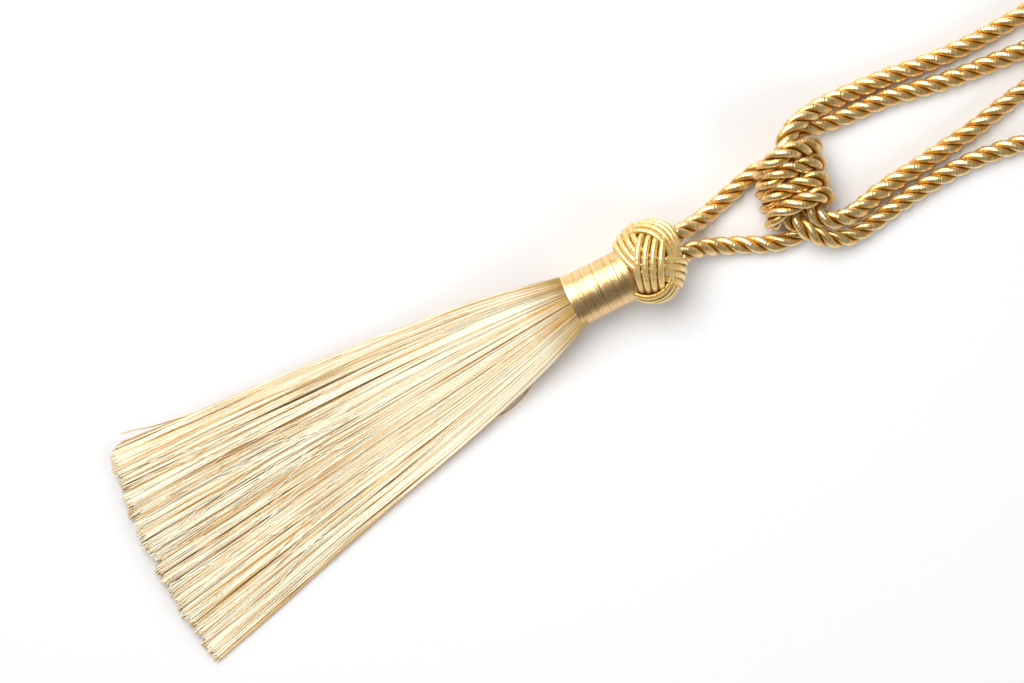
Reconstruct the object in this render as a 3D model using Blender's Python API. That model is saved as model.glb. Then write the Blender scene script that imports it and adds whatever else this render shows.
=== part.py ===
"""Curtain tieback with one long tassel, lying flat on its side.

The tassel hangs from a ball knot tied in gimp. Its own cord winds round a rope folded double,
whose two loops go round the curtain and over a wall hook. Lengths in this file are in
millimetres and become metres where a mesh is made. The skirt points along -X, the rope's loops
along +X, +Z is up, and the origin is the middle of the flat spot under the ball knot.
"""

import math
import random

import bmesh
import bpy
from mathutils import Vector

MM = 0.001
GAP = 0.3
UP = Vector((0.0, 0.0, 1.0))
CREASE = math.radians(50)

# Rope: three gimps laid right-handed.
ROPE_CROWN = 4.75
ROPE_GROOVE = 3.1
ROPE_LAY = 25.0
ROPE_STEPS_PER_LAY = 8
COIL_CROWN = 4.4
COIL_LAY = 26.0
COIL_SQUEEZE = 0.77
COIL_STEP = 2.6

# Ball knot: three bands of four gimps, linked so that each passes over the next.
BALL_OUTER = 21.5
BALL_FLAT_DEPTH = 1.5
BALL_CORE = 14.6
BALL_CORE_RINGS = 9
BALL_CORE_SIDES = 16
BALL_CENTRE = Vector((0.0, 0.0, BALL_OUTER - BALL_FLAT_DEPTH))
GIMP = 3.5
GIMPS_IN_BAND = 4
GIMP_FLAT = 0.28
GIMP_RIDGE = 0.45
GIMP_VALLEY = 0.16
BAND_OVER = BALL_OUTER - GIMP / 2
BAND_UNDER = BAND_OVER - GIMP
BAND_DEPTH = 6.0
BAND_FOOT_INSET = 1.0
BAND_STEPS = 27
BAND_PHASE = 0.36
BAND_CURVE = 0.9
BAND_PROBE = 0.01
BALL_PRESS = 4.0
BALL_PRESS_FROM = 5.0
KNOT_TURN = math.radians(60)
KNOT_AWAY = Vector((math.sin(KNOT_TURN), -math.cos(KNOT_TURN), 0.0))
KNOT_ALONG = Vector((math.cos(KNOT_TURN), math.sin(KNOT_TURN), 0.0))
BAND_NARROW = 0.86
BAND_WIDE = 1.1
BAND_SHIFTS = {
    # band: its shift sideways, then how that changes with far, far squared, far cubed, near, and
    # far times near. Far is 1 and -1 where the band passes over, and near where it passes under.
    "band_front": (0.06, 0.0, -0.2, 0.0, 0.05, 0.0),
    "band_side": (-0.25, -0.24, 0.51, -0.38, 0.0, 0.0),
    "band_top": (0.4, 0.24, 0.0, 0.0, 0.54, 0.16),
}
SEAT_DEPTH = 12.0
LEG_SEAT_SIDES = 12
LEG_SEAT = (ROPE_CROWN + GAP) / math.cos(math.pi / LEG_SEAT_SIDES)
FLOOR_CUT_SIDE = 30.0
FLOOR_CUT_DEPTH = 9.0

# Neck: a wound tube with a cup at its far end for the root of the skirt.
NECK_START = Vector((-12.1, 0.4, 19.2))
NECK_END = Vector((-44.2, 2.3, 16.2))
NECK_RADIUS = 13.3
NECK_ROUND = 0.8
NECK_WAIST = 0.25
NECK_SEAT = NECK_RADIUS + 0.7
NECK_LIP = 13.9
NECK_LIP_ROUND = 0.5
NECK_LIP_PLACES = (2.4, 1.8, 0.6)
NECK_SIDES = 32
ROOT_RADIUS = 12.2
ROOT_THICK = 3.0

# Skirt: layers of locks that fan out and settle on the floor.
LOCKS_IN_LAYER = (16, 26, 31, 31, 26, 18)
LAYER_SPREAD = (1.0, 1.0, 0.97, 0.93, 0.86, 0.76)
ROOT_FILL = 0.9
ROOT_STRAIGHT = 1.5
LOCK_WIDTH = 0.6
LOCK_HEIGHT = 0.8
LOCK_DRIFT = 0.12
LENS = 0.45
TIP_RAGGED = 2.4
TIP_BOW = 6.0
TIP_SLANT = 3.0
SKIRT_SECTIONS = (
    # x, y of the lower edge, y of the upper edge, z of the underside, height, flatness
    (-52.0, -14.2, 18.2, 2.2, 27.0, 0.1),
    (-78.0, -22.4, 25.6, 0.6, 22.0, 0.5),
    (-122.0, -32.0, 33.3, 0.0, 14.5, 0.9),
    (-196.0, -46.6, 43.2, 0.0, 10.0, 1.0),
    (-284.0, -64.0, 54.0, 0.0, 7.5, 1.0),
)

# Turns of the hanging cord round the pair of ropes, which twist so that one climbs on the other.
COIL_CENTRE = Vector((79.1, -1.6, 0.0))
COIL_AXIS = Vector((-0.25, -0.968, 0.0)).normalized()
COIL_ACROSS = UP.cross(COIL_AXIS)
COIL_TURNS = 3.8
COIL_PITCH = 8.2
COIL_FIRST = -15.4
COIL_LEAN = 0.36
COIL_SHEAR = 0.08
COIL_NORMAL = (COIL_AXIS + COIL_ACROSS * COIL_SHEAR + UP * COIL_LEAN).normalized()
COIL_STEPS = 16
PAIR_OFFSET = 5.1
PAIR_TWIST_BEFORE = math.radians(2.6)
PAIR_TWIST_AFTER = math.radians(1.2)
PAIR_SHIFT = 0.01
TURN_RADIUS = ROPE_CROWN + GAP + COIL_CROWN
PAIR_LOW = COIL_CROWN + TURN_RADIUS
PAIR_WRAP = 4
COIL_REACH = (21.0, 32.0)

UPPER_LEG = (
    # x, y, z of the upper leg, from the ball to the first turn
    (12.4, 5.5, 19.1),
    (16.8, 5.3, 16.8),
    (22.0, 5.1, 14.0),
    (29.0, 5.4, 9.6),
    (37.0, 6.6, 6.0),
    (45.0, 8.2, 4.8),
    (53.0, 10.0, 4.8),
    (62.0, 12.0, 4.7),
    (70.6, 12.8, 4.5),
    (78.8, 10.8, 4.4),
)
LOWER_LEG = (
    # x, y, z of the lower leg, from the ball to its end under the turns
    (12.2, -4.6, 18.3),
    (16.4, -5.0, 16.0),
    (21.5, -5.6, 13.2),
    (29.0, -8.4, 8.8),
    (36.5, -12.0, 5.6),
    (44.0, -15.6, 4.8),
    (52.0, -20.0, 4.8),
    (60.0, -23.4, 4.8),
    (68.0, -24.8, 4.6),
    (76.0, -24.9, 4.4),
    (81.0, -25.6, 4.4),
)
PAIR_OUT = (7.8, 4.0, 0.0, -5.0, -10.0, -15.0, -18.0)
PAIR_THROUGH = (-15.0, -10.0, -5.0, 0.0, 4.0, 8.0, 13.0)
PAIR_BACK = (17.0, 12.5, 8.2)
UPPER_LOOP = (
    # x, y, z of the rope round the upper loop, from the turns and back to them
    (87.6, 19.6, 20.8),
    (94.4, 22.8, 18.8),
    (102.4, 24.2, 15.6),
    (112.0, 24.4, 10.8),
    (123.0, 23.8, 6.8),
    (135.0, 22.4, 5.0),
    (149.0, 20.6, 4.8),
    (166.0, 17.4, 4.8),
    (186.0, 15.0, 4.8),
    (206.0, 14.2, 4.8),
    (226.0, 14.4, 4.8),
    (256.0, 18.0, 4.8),
    (290.0, 23.0, 4.8),
    (324.0, 26.4, 4.8),
    (356.0, 27.6, 4.8),
    (380.0, 25.4, 4.8),
    (394.0, 17.6, 4.8),
    (397.0, 8.0, 4.8),
    (389.0, -2.4, 4.8),
    (370.0, -7.4, 4.8),
    (340.0, -8.0, 4.8),
    (306.0, -7.0, 4.8),
    (270.0, -5.4, 4.8),
    (240.0, -3.6, 4.8),
    (215.0, -1.6, 4.8),
    (197.0, 0.8, 4.8),
    (178.0, 3.6, 4.8),
    (160.0, 7.4, 4.8),
    (146.0, 11.0, 4.8),
    (132.0, 13.0, 4.8),
    (119.0, 14.4, 5.2),
    (107.2, 16.6, 7.2),
    (99.0, 18.2, 9.8),
    (92.4, 16.6, 12.6),
)
LOWER_LOOP = (
    # x, y, z of the rope round the lower loop, from the turns and back to them
    (82.4, -22.6, 17.4),
    (87.0, -27.0, 17.0),
    (94.0, -29.2, 14.6),
    (103.4, -28.8, 10.6),
    (114.0, -27.0, 7.0),
    (126.0, -26.0, 5.2),
    (141.0, -25.4, 4.8),
    (156.0, -24.4, 4.8),
    (172.0, -23.2, 4.8),
    (190.0, -20.6, 4.8),
    (210.0, -18.6, 4.8),
    (240.0, -18.8, 4.8),
    (272.0, -20.8, 4.8),
    (306.0, -22.8, 4.8),
    (336.0, -23.6, 4.8),
    (360.0, -25.0, 4.8),
    (376.0, -31.6, 4.8),
    (381.0, -42.0, 4.8),
    (375.0, -52.6, 4.8),
    (358.0, -59.6, 4.8),
    (334.0, -61.6, 4.8),
    (304.0, -60.4, 4.8),
    (274.0, -57.2, 4.8),
    (244.0, -52.6, 4.8),
    (216.0, -47.4, 4.8),
    (194.0, -42.6, 4.8),
    (178.0, -38.8, 4.8),
    (164.0, -36.6, 4.8),
    (148.0, -35.8, 4.8),
    (131.0, -36.2, 4.8),
    (116.0, -37.4, 4.8),
    (103.0, -38.8, 5.2),
    (92.0, -38.6, 6.8),
    (83.0, -35.0, 9.6),
    (76.4, -28.6, 12.8),
    (72.9, -22.4, 14.0),
)

COLOURS = {
    # name: linear colour, roughness, metallic
    "skirt": ((0.84, 0.68, 0.38, 1.0), 0.5, 0.1),
    "neck_wrap": ((0.72, 0.5, 0.22, 1.0), 0.35, 0.3),
    "head_knot": ((0.76, 0.55, 0.24, 1.0), 0.4, 0.2),
    "hanging_cord_coil": ((0.74, 0.52, 0.2, 1.0), 0.4, 0.2),
    "hanging_cord_leg": ((0.74, 0.52, 0.2, 1.0), 0.4, 0.2),
    "embrace_cord": ((0.72, 0.5, 0.19, 1.0), 0.4, 0.2),
}


def clear_scene():
    for item in list(bpy.data.objects):
        bpy.data.objects.remove(item, do_unlink=True)


def mix(a, b, share):
    return a + (b - a) * share


def smooth(share):
    share = min(1.0, max(0.0, share))
    return share * share * (3 - 2 * share)


def material(name):
    colour, roughness, metallic = COLOURS[name]
    finish = bpy.data.materials.new(name)
    finish.use_nodes = True
    shader = finish.node_tree.nodes["Principled BSDF"]
    shader.inputs["Base Color"].default_value = colour
    shader.inputs["Roughness"].default_value = roughness
    shader.inputs["Metallic"].default_value = metallic
    finish.diffuse_color = colour
    return finish


def mesh_object(name, points, faces, finish=None):
    """An object from points in millimetres and faces of their numbers."""
    mesh = bpy.data.meshes.new(name)
    mesh.from_pydata([Vector(p) * MM for p in points], [], faces)
    solid = bmesh.new()
    solid.from_mesh(mesh)
    bmesh.ops.recalc_face_normals(solid, faces=solid.faces)
    solid.to_mesh(mesh)
    solid.free()
    mesh.shade_smooth()
    mesh.set_sharp_from_angle(angle=CREASE)
    piece = bpy.data.objects.new(name, mesh)
    bpy.context.scene.collection.objects.link(piece)
    if finish:
        mesh.materials.append(finish)
    return piece


def tool(name, points, faces):
    """A helper solid that is only used by a Boolean."""
    piece = mesh_object(name, points, faces)
    piece.hide_render = True
    piece.display_type = "WIRE"
    return piece


def boolean(piece, other, operation):
    cut = piece.modifiers.new(other.name, "BOOLEAN")
    cut.operation = operation
    cut.solver = "EXACT"
    cut.object = other


def rings_to_mesh(rings, closed=False):
    """Points and faces of a tube through rings of equal count, with end caps unless it is closed."""
    count = len(rings[0])
    points = [point for ring in rings for point in ring]
    faces = []
    last = len(rings) if closed else len(rings) - 1
    for i in range(last):
        here = i * count
        there = (i + 1) % len(rings) * count
        for j in range(count):
            k = (j + 1) % count
            faces.append((here + j, here + k, there + k, there + j))
    if not closed:
        faces.append(tuple(range(count)))
        faces.append(tuple(len(points) - count + j for j in range(count)))
    return points, faces


def frame_of(direction):
    """Two unit vectors square to a direction: sideways, and as near to up as can be."""
    forward = direction.normalized()
    side = UP.cross(forward).normalized()
    return side, forward.cross(side)


def turned(start, end, profile, sides):
    """Rings of a turned solid whose profile gives the distance along its axis and the radius."""
    forward = (end - start).normalized()
    side, over = frame_of(forward)
    rings = []
    for along, radius in profile:
        centre = start + forward * along
        turns = [2 * math.pi * j / sides for j in range(sides)]
        rings.append([centre + (side * math.cos(t) + over * math.sin(t)) * radius for t in turns])
    return rings


def turned_upright(start, profile, sides):
    """Rings of a solid turned about an upright axis: height above the start, and radius."""
    rings = []
    for height, radius in profile:
        turns = [2 * math.pi * j / sides for j in range(sides)]
        ring = [start + Vector((math.cos(t) * radius, math.sin(t) * radius, height)) for t in turns]
        rings.append(ring)
    return rings


# ---- routes and ropes ----


def curve_through(route, steps=14):
    """Close-set points on a smooth curve through a route's points (centripetal Catmull-Rom)."""
    knots = [Vector(p) for p in route]
    knots = [knots[0] * 2 - knots[1]] + knots + [knots[-1] * 2 - knots[-2]]
    line = []
    for a, b, c, d in zip(knots, knots[1:], knots[2:], knots[3:]):
        ta = 0.0
        tb = ta + math.sqrt((b - a).length)
        tc = tb + math.sqrt((c - b).length)
        td = tc + math.sqrt((d - c).length)
        for i in range(steps):
            t = mix(tb, tc, i / steps)
            ab = a * ((tb - t) / (tb - ta)) + b * ((t - ta) / (tb - ta))
            bc = b * ((tc - t) / (tc - tb)) + c * ((t - tb) / (tc - tb))
            cd = c * ((td - t) / (td - tc)) + d * ((t - tc) / (td - tc))
            abc = ab * ((tc - t) / (tc - ta)) + bc * ((t - ta) / (tc - ta))
            bcd = bc * ((td - t) / (td - tb)) + cd * ((t - tb) / (td - tb))
            line.append(abc * ((tc - t) / (tc - tb)) + bcd * ((t - tb) / (tc - tb)))
    line.append(knots[-2].copy())
    return line


def in_coil(point):
    """1 where a cord is part of the turns, 0 where it lies free."""
    near, far = COIL_REACH
    distance = (Vector((point.x, point.y, 0.0)) - COIL_CENTRE).length
    return smooth((far - distance) / (far - near))


def walk(line, step_at):
    """Points along a line, each a step from the last; step_at gives the step at a point."""
    total = sum((b - a).length for a, b in zip(line, line[1:]))
    stops = [0.0]
    marks = [0.0]
    for a, b in zip(line, line[1:]):
        marks.append(marks[-1] + (b - a).length)
    place = 0
    found = [line[0]]
    while True:
        target = stops[-1] + step_at(found[-1])
        if target > total - 0.5 * step_at(found[-1]):
            break
        while marks[place + 1] < target:
            place += 1
        share = (target - marks[place]) / (marks[place + 1] - marks[place])
        found.append(line[place].lerp(line[place + 1], share))
        stops.append(target)
    found.append(line[-1])
    stops.append(total)
    return found, stops


def rope(name, line, squeezed):
    """A laid rope: a three-lobed section that turns as it goes along the line."""

    def share_at(point):
        return in_coil(point) if squeezed else 0.0

    def step_at(point):
        return mix(ROPE_LAY / ROPE_STEPS_PER_LAY, COIL_STEP, share_at(point))

    centres, stops = walk(line, step_at)
    rings = []
    turn = 0.0
    side = None
    for i, centre in enumerate(centres):
        ahead = centres[min(i + 1, len(centres) - 1)]
        behind = centres[max(i - 1, 0)]
        forward = (ahead - behind).normalized()
        side = frame_of(forward)[0] if side is None else side
        side = (side - forward * side.dot(forward)).normalized()
        over = forward.cross(side)
        share = share_at(centre)
        if i:
            turn += 2 * math.pi * (stops[i] - stops[i - 1]) / mix(ROPE_LAY, COIL_LAY, share)
        crown = mix(ROPE_CROWN, COIL_CROWN, share)
        squeeze = mix(1.0, COIL_SQUEEZE, share)
        ring = []
        for j in range(6):
            radius = crown if j % 2 == 0 else crown * ROPE_GROOVE / ROPE_CROWN
            angle = turn + j * math.pi / 3
            offset = (side * math.cos(angle) + over * math.sin(angle)) * radius
            offset -= COIL_NORMAL * offset.dot(COIL_NORMAL) * (1 - squeeze)
            ring.append(centre + offset)
        rings.append(ring)
    return mesh_object(name, *rings_to_mesh(rings), material(name))


def pair_across(along):
    """The unit vector from the left rope of the pair to the right one: across the coil, and up."""
    turn = along * (PAIR_TWIST_BEFORE if along < 0 else PAIR_TWIST_AFTER)
    return Vector((math.cos(turn), math.sin(turn)))


def coil_place(along, across, height):
    """A point given along the coil, across it from the pair's middle, and above the pair's foot."""
    across += PAIR_SHIFT * min(along, 0.0) ** 2
    return COIL_CENTRE + COIL_AXIS * along + COIL_ACROSS * across + UP * (PAIR_LOW + height)


def pair_point(along, side):
    """A point of one rope of the pair; side is -1 for the left one and 1 for the right one."""
    pair = pair_across(along) * PAIR_OFFSET
    return coil_place(along, side * pair.x, abs(pair.y) + side * pair.y)


def coil_point(turns):
    """A point of the winding: under the pair, up on its right, over it and down on its left."""
    angle = 2 * math.pi * turns
    out = Vector((math.sin(angle), -math.cos(angle))) * TURN_RADIUS
    along = COIL_FIRST + COIL_PITCH * turns - COIL_LEAN * out.y - COIL_SHEAR * out.x
    pair = pair_across(along) * PAIR_OFFSET
    side = max(-1.0, min(1.0, PAIR_WRAP * out.dot(pair) / (TURN_RADIUS * PAIR_OFFSET)))
    return coil_place(along, side * pair.x + out.x, abs(pair.y) + side * pair.y + out.y)


def embrace_route():
    """Out of the turns, round the upper loop, through the turns, round the lower one, and back."""
    out = [pair_point(along, -1) for along in PAIR_OUT]
    through = [pair_point(along, 1) for along in PAIR_THROUGH]
    back = [pair_point(along, -1) for along in PAIR_BACK]
    return out + list(UPPER_LOOP) + through + list(LOWER_LOOP) + back


def coil_route():
    steps = round(COIL_TURNS * COIL_STEPS)
    return [coil_point(COIL_TURNS * i / steps) for i in range(steps + 1)]


# ---- ball knot ----


def band_profile():
    """Section of a band of gimps side by side: place across it and height above its middle line."""
    half = GIMPS_IN_BAND * GIMP / 2
    profile = []
    for j in range(GIMPS_IN_BAND):
        middle = (j + 0.5) * GIMP - half
        profile.append((middle - GIMP_FLAT * GIMP, GIMP_RIDGE * GIMP))
        profile.append((middle + GIMP_FLAT * GIMP, GIMP_RIDGE * GIMP))
        if j < GIMPS_IN_BAND - 1:
            profile.append((middle + 0.5 * GIMP, GIMP_VALLEY * GIMP))
    profile = [(-half, 0.0)] + profile + [(half, 0.0)]
    foot = half - BAND_FOOT_INSET
    return profile + [(foot, -BAND_DEPTH), (-foot, -BAND_DEPTH)]


def pressed(point):
    """A point of the ball, pressed in where the ball is flatter, beside the lower cord."""
    away = (point - BALL_CENTRE).dot(KNOT_AWAY)
    share = max(0.0, away - BALL_PRESS_FROM) / (BALL_OUTER - BALL_PRESS_FROM)
    return point - KNOT_AWAY * (BALL_PRESS * share**2)


def band(name, long_way, short_way, side_way):
    """A closed band round the ball, far out along long_way and tucked in along short_way."""
    middle, tilt, bow, curl, lean, skew = BAND_SHIFTS[name]

    def outward(turn):
        far = math.cos(turn)
        near = math.sin(turn)
        shift = middle + tilt * far + bow * far**2 + curl * far**3 + lean * near + skew * far * near
        return (long_way * far + short_way * near + side_way * shift).normalized()

    rings = []
    for i in range(BAND_STEPS):
        turn = 2 * math.pi * (i + BAND_PHASE) / BAND_STEPS
        way = outward(turn)
        onward = outward(turn + BAND_PROBE) - outward(turn - BAND_PROBE)
        across = way.cross(onward).normalized()
        radius = mix(BAND_UNDER, BAND_OVER, math.cos(turn) ** 2)
        widen = mix(BAND_NARROW, BAND_WIDE, math.cos(turn) ** 2)
        ring = []
        for place, height in band_profile():
            place *= widen
            drop = radius - math.sqrt(radius**2 - place**2)
            reach = radius - drop * BAND_CURVE + height
            ring.append(pressed(BALL_CENTRE + way * reach + across * place))
        rings.append(ring)
    return tool(name, *rings_to_mesh(rings, closed=True))


def make_head_knot():
    core_profile = []
    for i in range(BALL_CORE_RINGS):
        angle = math.pi * (i + 0.5) / BALL_CORE_RINGS
        core_profile.append((-BALL_CORE * math.cos(angle), BALL_CORE * math.sin(angle)))
    core = turned_upright(BALL_CENTRE, core_profile, BALL_CORE_SIDES)
    core = [[pressed(point) for point in ring] for ring in core]
    knot = mesh_object("head_knot", *rings_to_mesh(core), material("head_knot"))
    boolean(knot, band("band_front", UP, KNOT_ALONG, KNOT_AWAY), "UNION")
    boolean(knot, band("band_side", KNOT_AWAY, UP, KNOT_ALONG), "UNION")
    boolean(knot, band("band_top", KNOT_ALONG, KNOT_AWAY, UP), "UNION")
    low = -FLOOR_CUT_DEPTH
    side = FLOOR_CUT_SIDE
    floor = [(-side, -side, low), (side, -side, low), (side, side, low), (-side, side, low)]
    slab = [floor, [(x, y, 0.0) for x, y, z in floor]]
    boolean(knot, tool("floor_cut", *rings_to_mesh(slab)), "DIFFERENCE")
    neck_way = (NECK_START - NECK_END).normalized()
    seat = NECK_START + neck_way * GAP
    seat_profile = [(0.0, NECK_SEAT), (SEAT_DEPTH, NECK_SEAT)]
    seat_rings = turned(seat - neck_way * SEAT_DEPTH, seat, seat_profile, NECK_SIDES)
    boolean(knot, tool("neck_seat", *rings_to_mesh(seat_rings)), "DIFFERENCE")
    hole_profile = [(0.0, LEG_SEAT), (SEAT_DEPTH, LEG_SEAT)]
    for number, leg in enumerate((UPPER_LEG, LOWER_LEG)):
        start = Vector(leg[0])
        way = (Vector(leg[1]) - start).normalized()
        hole = turned(start - way * GAP, start + way * SEAT_DEPTH, hole_profile, LEG_SEAT_SIDES)
        boolean(knot, tool(f"leg_seat_{number}", *rings_to_mesh(hole)), "DIFFERENCE")


# ---- neck and skirt ----


def make_neck():
    length = (NECK_END - NECK_START).length
    lip_starts, lip_full, lip_ends = NECK_LIP_PLACES
    cup = ROOT_THICK + GAP
    profile = (
        (0.0, NECK_RADIUS - NECK_ROUND),
        (NECK_ROUND, NECK_RADIUS),
        (length * 0.5, NECK_RADIUS - NECK_WAIST),
        (length - lip_starts, NECK_RADIUS),
        (length - lip_full, NECK_LIP),
        (length - lip_ends, NECK_LIP),
        (length, NECK_LIP - NECK_LIP_ROUND),
        (length, ROOT_RADIUS + GAP),
        (length - cup, ROOT_RADIUS + GAP),
    )
    rings = turned(NECK_START, NECK_END, profile, NECK_SIDES)
    mesh_object("neck_wrap", *rings_to_mesh(rings), material("neck_wrap"))


def chord(layer):
    """Half the width that the round root leaves for a layer, as a share of its radius."""
    layers = len(LOCKS_IN_LAYER)
    edges = (2 * layer / layers - 1, 2 * (layer + 1) / layers - 1)
    return math.sqrt(1 - (ROOT_FILL * max(abs(edge) for edge in edges)) ** 2)


def lock_section(low, high, base, height, flat, layer, across):
    """Sideways place, underside, width and height of one lock at a section of the skirt."""
    layers = len(LOCKS_IN_LAYER)
    spread = (high - low) / 2 * mix(chord(layer), LAYER_SPREAD[layer], flat)
    lens = 1 - LENS * across**2 * flat
    under = base + height * layer / layers * lens
    width = 2 * spread / LOCKS_IN_LAYER[layer] * LOCK_WIDTH
    return (low + high) / 2 + spread * across, under, width, height / layers * lens * LOCK_HEIGHT


def make_skirt():
    chance = random.Random(7)
    forward = (NECK_END - NECK_START).normalized()
    side, over = frame_of(forward)
    root_profile = [(0.0, ROOT_RADIUS), (ROOT_THICK, ROOT_RADIUS)]
    disc = turned(NECK_END - forward * ROOT_THICK, NECK_END, root_profile, NECK_SIDES)
    skirt = mesh_object("skirt", *rings_to_mesh(disc), material("skirt"))
    inside = NECK_END - forward * ROOT_THICK * 0.5
    outside = NECK_END + forward * ROOT_STRAIGHT
    reach = ROOT_RADIUS * ROOT_FILL
    points = []
    faces = []
    for layer, count in enumerate(LOCKS_IN_LAYER):
        for number in range(count):
            drift = chance.uniform(-LOCK_DRIFT, LOCK_DRIFT)
            across = (2 * number + 1 + drift) / count - 1
            cut = TIP_SLANT * across - TIP_BOW * math.cos(math.pi / 2 * across)
            cut += chance.uniform(-TIP_RAGGED, TIP_RAGGED)
            place, under, width, tall = lock_section(
                -reach, reach, -reach, 2 * reach, 0.0, layer, across
            )
            corners = ((-width / 2, 0), (width / 2, 0), (0, tall))
            rings = []
            for centre in (inside, outside):
                rings.append([centre - side * (place + c) + over * (under + h) for c, h in corners])
            for x, low, high, base, height, flat in SKIRT_SECTIONS:
                place, under, width, tall = lock_section(
                    low, high, base, height, flat, layer, across
                )
                corners = ((-width / 2, 0), (width / 2, 0), (0, tall))
                end = cut if x == SKIRT_SECTIONS[-1][0] else 0.0
                rings.append([Vector((x + end, place + c, under + h)) for c, h in corners])
            lock_points, lock_faces = rings_to_mesh(rings)
            first = len(points)
            points += lock_points
            faces += [tuple(first + v for v in face) for face in lock_faces]
    boolean(skirt, tool("skirt_locks", points, faces), "UNION")


def main():
    clear_scene()
    make_skirt()
    make_neck()
    make_head_knot()
    rope("hanging_cord_coil", curve_through(list(UPPER_LEG) + coil_route()), True)
    rope("hanging_cord_leg", curve_through(LOWER_LEG), True)
    rope("embrace_cord", curve_through(embrace_route()), False)


main()
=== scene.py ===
"""Curtain tieback with one long tassel: ropes, ball knot, wound neck and cut fringe, lying flat.

The skirt points along -X, the rope's loops along +X and +Z is up. Sizes are in millimetres and
become metres where a mesh or a property is made. The stage and the finishes are in metres.
"""

import math
import random

import bpy
import numpy as np
from mathutils import Matrix, Vector


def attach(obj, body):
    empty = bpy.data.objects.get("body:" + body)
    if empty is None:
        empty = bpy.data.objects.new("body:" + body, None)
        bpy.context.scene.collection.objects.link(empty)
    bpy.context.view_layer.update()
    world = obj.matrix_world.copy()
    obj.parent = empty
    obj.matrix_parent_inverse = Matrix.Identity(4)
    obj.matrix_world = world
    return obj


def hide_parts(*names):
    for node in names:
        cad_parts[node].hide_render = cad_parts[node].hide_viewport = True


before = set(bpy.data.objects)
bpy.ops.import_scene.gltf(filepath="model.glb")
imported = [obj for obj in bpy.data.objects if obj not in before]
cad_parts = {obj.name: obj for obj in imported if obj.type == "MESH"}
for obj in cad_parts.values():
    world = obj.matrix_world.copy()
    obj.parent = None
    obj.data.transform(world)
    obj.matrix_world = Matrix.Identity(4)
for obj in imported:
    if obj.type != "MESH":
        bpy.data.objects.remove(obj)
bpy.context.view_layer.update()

bl_info = {
    "name": "Curtain Tieback Tassel",
    "version": (1, 0, 0),
    "blender": (4, 5, 0),
    "location": "View3D > Sidebar > Tieback",
    "description": "Builds a curtain tieback with a long fringed tassel",
    "category": "Add Mesh",
}

MM = 0.001
UP = Vector((0.0, 0.0, 1.0))

# Picture: its middle on the floor, how far it is turned from the row's axes, and the lens.
PICTURE_MIDDLE = (-79.6, 0.1)
PICTURE_TURN = math.radians(30)
CAMERA_HEIGHT = 1209.0
CAMERA_LENS = 85.0
PICTURE_RIGHT = Vector((math.cos(PICTURE_TURN), -math.sin(PICTURE_TURN), 0.0))
PICTURE_UP = Vector((math.sin(PICTURE_TURN), math.cos(PICTURE_TURN), 0.0))

# Stage, in metres and watts, and lamps placed as the picture shows the floor
FLOOR_REACH = 2.5
FLOOR_ROUGHNESS = 0.6
STUDIO_WHITE = (1.0, 1.0, 1.0, 1.0)
STUDIO_STRENGTH = 0.4
LAMPS = (
    # name, distances to the picture's right, up it and above the floor, size, power, rays left out
    ("key", -0.45, 0.45, 1.3, 1.1, 19.0, ()),
    ("fill", 1.2, -0.9, 0.9, 1.2, 12.0, ("visible_glossy",)),
    ("gloss", -0.5, 1.0, 1.0, 1.4, 30.0, ("visible_diffuse",)),
)

# Thread wound round a core: the widths of a thread's stripe and of a bundle's, their relief, and
# the satin's shine
ROPE_WINDING = {
    "pitch": 0.0007,
    "bundle": 0.0016,
    "relief": 0.0003,
    "roughness": 0.26,
    "metallic": 0.75,
    "coat": 0.5,
}
GIMP_WINDING = {**ROPE_WINDING, "roughness": 0.24, "metallic": 0.6, "coat": 0.25}
NECK_WINDING = {
    "pitch": 0.0005,
    "bundle": 0.0018,
    "relief": 0.00018,
    "roughness": 0.3,
    "metallic": 0.85,
    "coat": 0.15,
}
COAT_ROUGHNESS = 0.2
WOUND_PATCHES = 160.0
# Metres by which one strand's stripes, and the bundles' stripes, start away from the others'
STRAND_SHIFT = 7.0
BUNDLE_SHIFT = 3.0
# Where the finish changes from the painted groove shade (crest 0) through the deep flank to the lit
# crown (crest 1) of a strand or gimp: painted shade and painted highlight
GROOVE_SHADE_EDGE = (0.32, 0.7)
LIT_CREST_EDGE = (0.62, 0.98)

# Finish of the skirt's threads. Root and tip are metres along a thread from inside the neck: up to
# the root's end the threads get painted shade below the neck, and past the tip's start they get
# lighter.
THREAD_PATCHES = 260.0
THREAD_TWIST = 0.0015
THREAD_SHIFT = 9.0
# Crest shares from which the painted shade on a thread's lower corners gives way to its own tone
THREAD_FLANK_SHADE = (0.25, 0.6)
THREAD_ROUGHNESS = 0.4
THREAD_RELIEF = 0.0001
THREAD_BUMP = 0.3
ROOT_END = (0.008, 0.03)
TIP_START = (0.222, 0.243)

# Rope, and what it becomes where it is squeezed in the turns
ROPE_RADIUS = 4.8
STRANDS = 3
COIL_LAY = 26.0
COIL_SQUEEZE = 0.96
COIL_FULL = 4.7
COIL_CROWN = 4.4
ROPE_STEP = 1.15
COIL_STEP = 1.4
ROPE_TAIL = 4.0
ROPE_TAIL_ROUND = 0.95
STRAND_SIDES = 12

# Turns of the hanging cord round the pair of ropes
COIL_CENTRE = Vector((79.1, -1.6, 0.0))
COIL_AXIS = Vector((-0.25, -0.968, 0.0)).normalized()
COIL_ACROSS = UP.cross(COIL_AXIS)
COIL_TURNS = 3.8
COIL_PITCH = 8.2
COIL_FIRST = -15.4
COIL_LEAN = 0.36
COIL_SHEAR = 0.08
COIL_NORMAL = (COIL_AXIS + COIL_ACROSS * COIL_SHEAR + UP * COIL_LEAN).normalized()
COIL_STEPS = 16
PAIR_OFFSET = 5.1
PAIR_TWIST_BEFORE = math.radians(2.6)
PAIR_TWIST_AFTER = math.radians(1.2)
PAIR_SHIFT = 0.01
TURN_RADIUS = 9.45
PAIR_LOW = COIL_CROWN + TURN_RADIUS
PAIR_WRAP = 4
COIL_REACH = (21.0, 32.0)

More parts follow.
